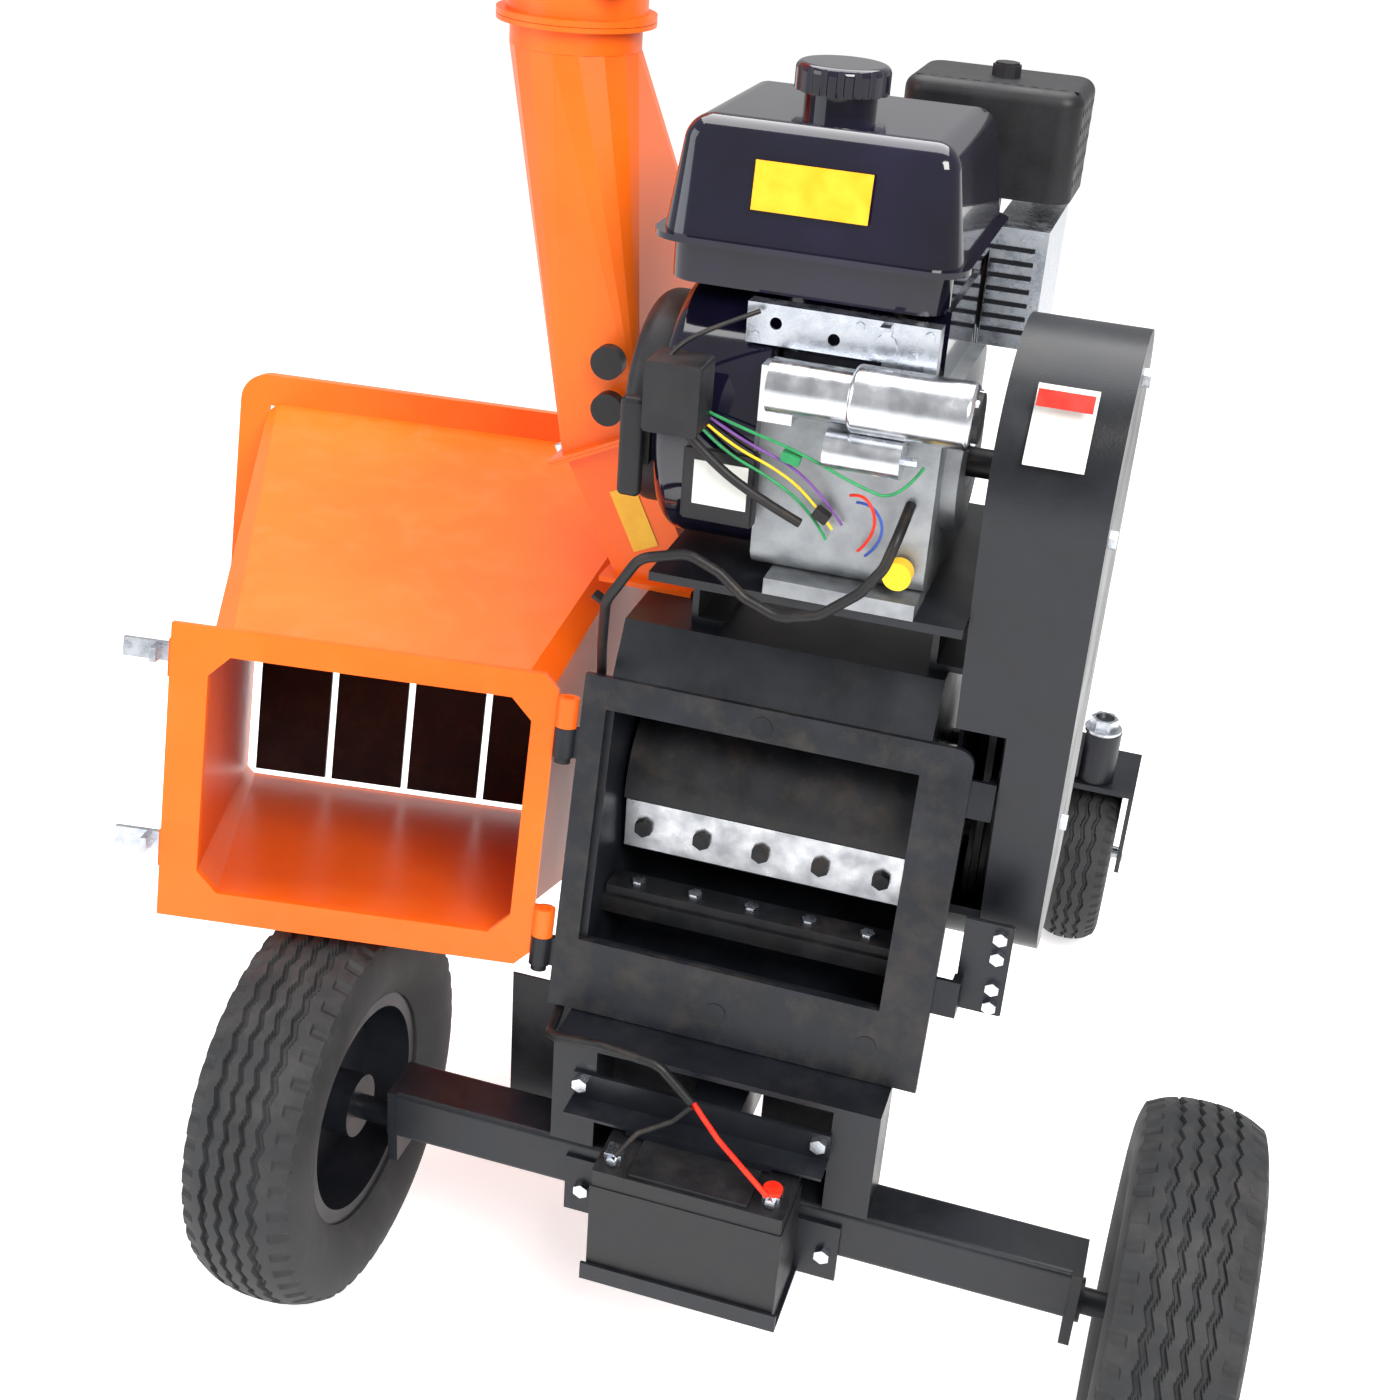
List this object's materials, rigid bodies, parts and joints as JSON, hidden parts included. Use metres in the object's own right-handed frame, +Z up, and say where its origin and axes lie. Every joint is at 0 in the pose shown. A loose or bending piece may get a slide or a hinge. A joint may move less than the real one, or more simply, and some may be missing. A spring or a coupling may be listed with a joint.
{
  "type": "towable petrol wood chipper",
  "caption": "Towable petrol drum wood chipper with its orange feed hopper swung open to show the drum and knife.",
  "frame": {"origin": "on the ground under the middle of the whole chipper as drawn with its hopper open", "axes": "+X to the right seen from behind, +Y forward to the tow hitch, +Z up"},
  "size_m": [1.2352, 1.6642, 1.4468],
  "materials": {
    "orange_powder": "bright orange powder coat on welded sheet steel, worn at the edges",
    "black_frame": "satin black powder coat on welded steel plate and tube",
    "bare_steel": "ground and rolled bare steel",
    "zinc": "bright zinc plating",
    "black_wheel": "black enamel on a pressed steel wheel",
    "tyre_rubber": "dusty black pneumatic tyre",
    "soft_rubber": "soft black rubber sheet, belt and cable sleeve",
    "cast_alloy": "grey die cast aluminium",
    "iron": "dark cast iron and scaled steel",
    "black_gloss": "gloss black moulded shell",
    "black_plastic": "matte black moulded plastic",
    "yellow_plastic": "yellow moulded filler cap"
  },
  "bodies": {
    "frame": {"air_cleaner": "black_plastic", "axle_beam": "black_frame", "battery_case": "black_plastic", "battery_leads": "soft_rubber", "battery_mount": "black_frame", "battery_terminals": "zinc", "bed_knife": "bare_steel", "belt_guard": "black_frame", "blower_housing": "black_plastic", "chamber_flange": "black_frame", "clamp_knobs": "black_plastic", "control_bracket": "zinc", "crankcase": "cast_alloy", "cylinder": "cast_alloy", "discharge_chute": "orange_powder", "drive_belts": "soft_rubber", "drum_bearings": "iron", "drum_housing": "black_frame", "engine_platform": "black_frame", "flange_fittings": "black_frame", "frame_fasteners": "zinc", "frame_legs": "black_frame", "fuel_tank": "black_gloss", "guard_back_plate": "black_frame", "heat_shield": "zinc", "hinge_pins": "bare_steel", "hitch_coupler": "black_frame", "lower_duct": "orange_powder", "muffler": "iron", "recoil_cover": "black_plastic", "regulator_box": "black_plastic", "starter_cable": "soft_rubber", "starter_motor": "zinc", "tow_bar": "black_frame"},
    "left_wheel": {"left_tyre": "tyre_rubber", "left_rim": "black_wheel"},
    "right_wheel": {"right_tyre": "tyre_rubber", "right_rim": "black_wheel"},
    "caster_swivel": {"caster_fork": "black_frame"},
    "caster_wheel": {"caster_tyre": "tyre_rubber", "caster_rim": "black_wheel", "caster_axle_bolt": "bare_steel"},
    "hopper": {"hopper_flange": "orange_powder", "hopper_funnel": "orange_powder", "hopper_brackets": "orange_powder", "flap_curtain": "soft_rubber"},
    "upper_latch": {"upper_latch_lever": "zinc"},
    "lower_latch": {"lower_latch_lever": "zinc"},
    "rotor": {"drum": "bare_steel", "knives": "bare_steel", "knife_bolts": "zinc"},
    "engine_shaft": {"crankshaft": "bare_steel"},
    "elbow": {"turning_elbow": "orange_powder"},
    "cap": {"deflector_cap": "orange_powder"},
    "tank_cap": {"fuel_cap": "black_gloss"},
    "filler_cap": {"oil_cap": "yellow_plastic"},
    "throttle": {"throttle_lever": "zinc"},
    "recoil": {"recoil_grip": "black_plastic"}
  },
  "joints": [
    {"name": "left_wheel_spin", "type": "hinge", "parent": "frame", "child": "left_wheel", "pos_m": [-0.28342, -0.62786, 0.20428], "axis": [1, 0, 0], "continuous": true},
    {"name": "right_wheel_spin", "type": "hinge", "parent": "frame", "child": "right_wheel", "pos_m": [0.55858, -0.62786, 0.20428], "axis": [1, 0, 0], "continuous": true},
    {"name": "caster_turn", "type": "hinge", "parent": "frame", "child": "caster_swivel", "pos_m": [0.38358, 0.24214, 0.27278], "axis": [0, 0, 1], "continuous": true},
    {"name": "caster_wheel_spin", "type": "hinge", "parent": "caster_swivel", "child": "caster_wheel", "pos_m": [0.38358, 0.30214, 0.13078], "axis": [1, 0, 0], "continuous": true},
    {"name": "hopper_swing", "type": "hinge", "parent": "frame", "child": "hopper", "pos_m": [-0.06942, -0.61136, 0.37778], "axis": [0, 0.2096, 0.9778], "range_deg": [0, 166]},
    {"name": "upper_latch_turn", "type": "hinge", "parent": "hopper", "child": "upper_latch", "pos_m": [-0.42454, -0.60369, 0.66761], "axis": [0, 0.2096, 0.9778], "range_deg": [-60, 20]},
    {"name": "lower_latch_turn", "type": "hinge", "parent": "hopper", "child": "lower_latch", "pos_m": [-0.42454, -0.64309, 0.48379], "axis": [0, 0.2096, 0.9778], "range_deg": [-60, 20]},
    {"name": "drum_spin", "type": "hinge", "parent": "frame", "child": "rotor", "pos_m": [0.12158, -0.42486, 0.55578], "axis": [1, 0, 0], "continuous": true},
    {"name": "engine_shaft_spin", "type": "hinge", "parent": "frame", "child": "engine_shaft", "pos_m": [0.30158, -0.47786, 0.93478], "axis": [1, 0, 0], "continuous": true},
    {"name": "chute_turn", "type": "hinge", "parent": "frame", "child": "elbow", "pos_m": [-0.15542, -0.35786, 1.23278], "axis": [0, 0, 1], "continuous": true},
    {"name": "cap_tilt", "type": "hinge", "parent": "elbow", "child": "cap", "pos_m": [-0.15542, -0.27586, 1.42478], "axis": [1, 0, 0], "range_deg": [-20, 60]},
    {"name": "fuel_cap_turn", "type": "hinge", "parent": "frame", "child": "tank_cap", "pos_m": [0.10058, -0.42786, 1.20978], "axis": [0, 0, 1], "range_deg": [0, 90]},
    {"name": "oil_cap_turn", "type": "hinge", "parent": "frame", "child": "filler_cap", "pos_m": [0.21958, -0.56886, 0.86478], "axis": [0, 1, 0], "continuous": true},
    {"name": "throttle_turn", "type": "hinge", "parent": "frame", "child": "throttle", "pos_m": [0.18358, -0.55386, 1.04478], "axis": [0, 1, 0], "range_deg": [-35, 35]},
    {"name": "recoil_pull", "type": "slide", "parent": "frame", "child": "recoil", "axis": [0, -1, 0], "range_m": [0, 0.3]}
  ],
  "couplings": [
    {"joint": "engine_shaft_spin", "follows": "drum_spin", "ratio": 1.28}
  ]
}
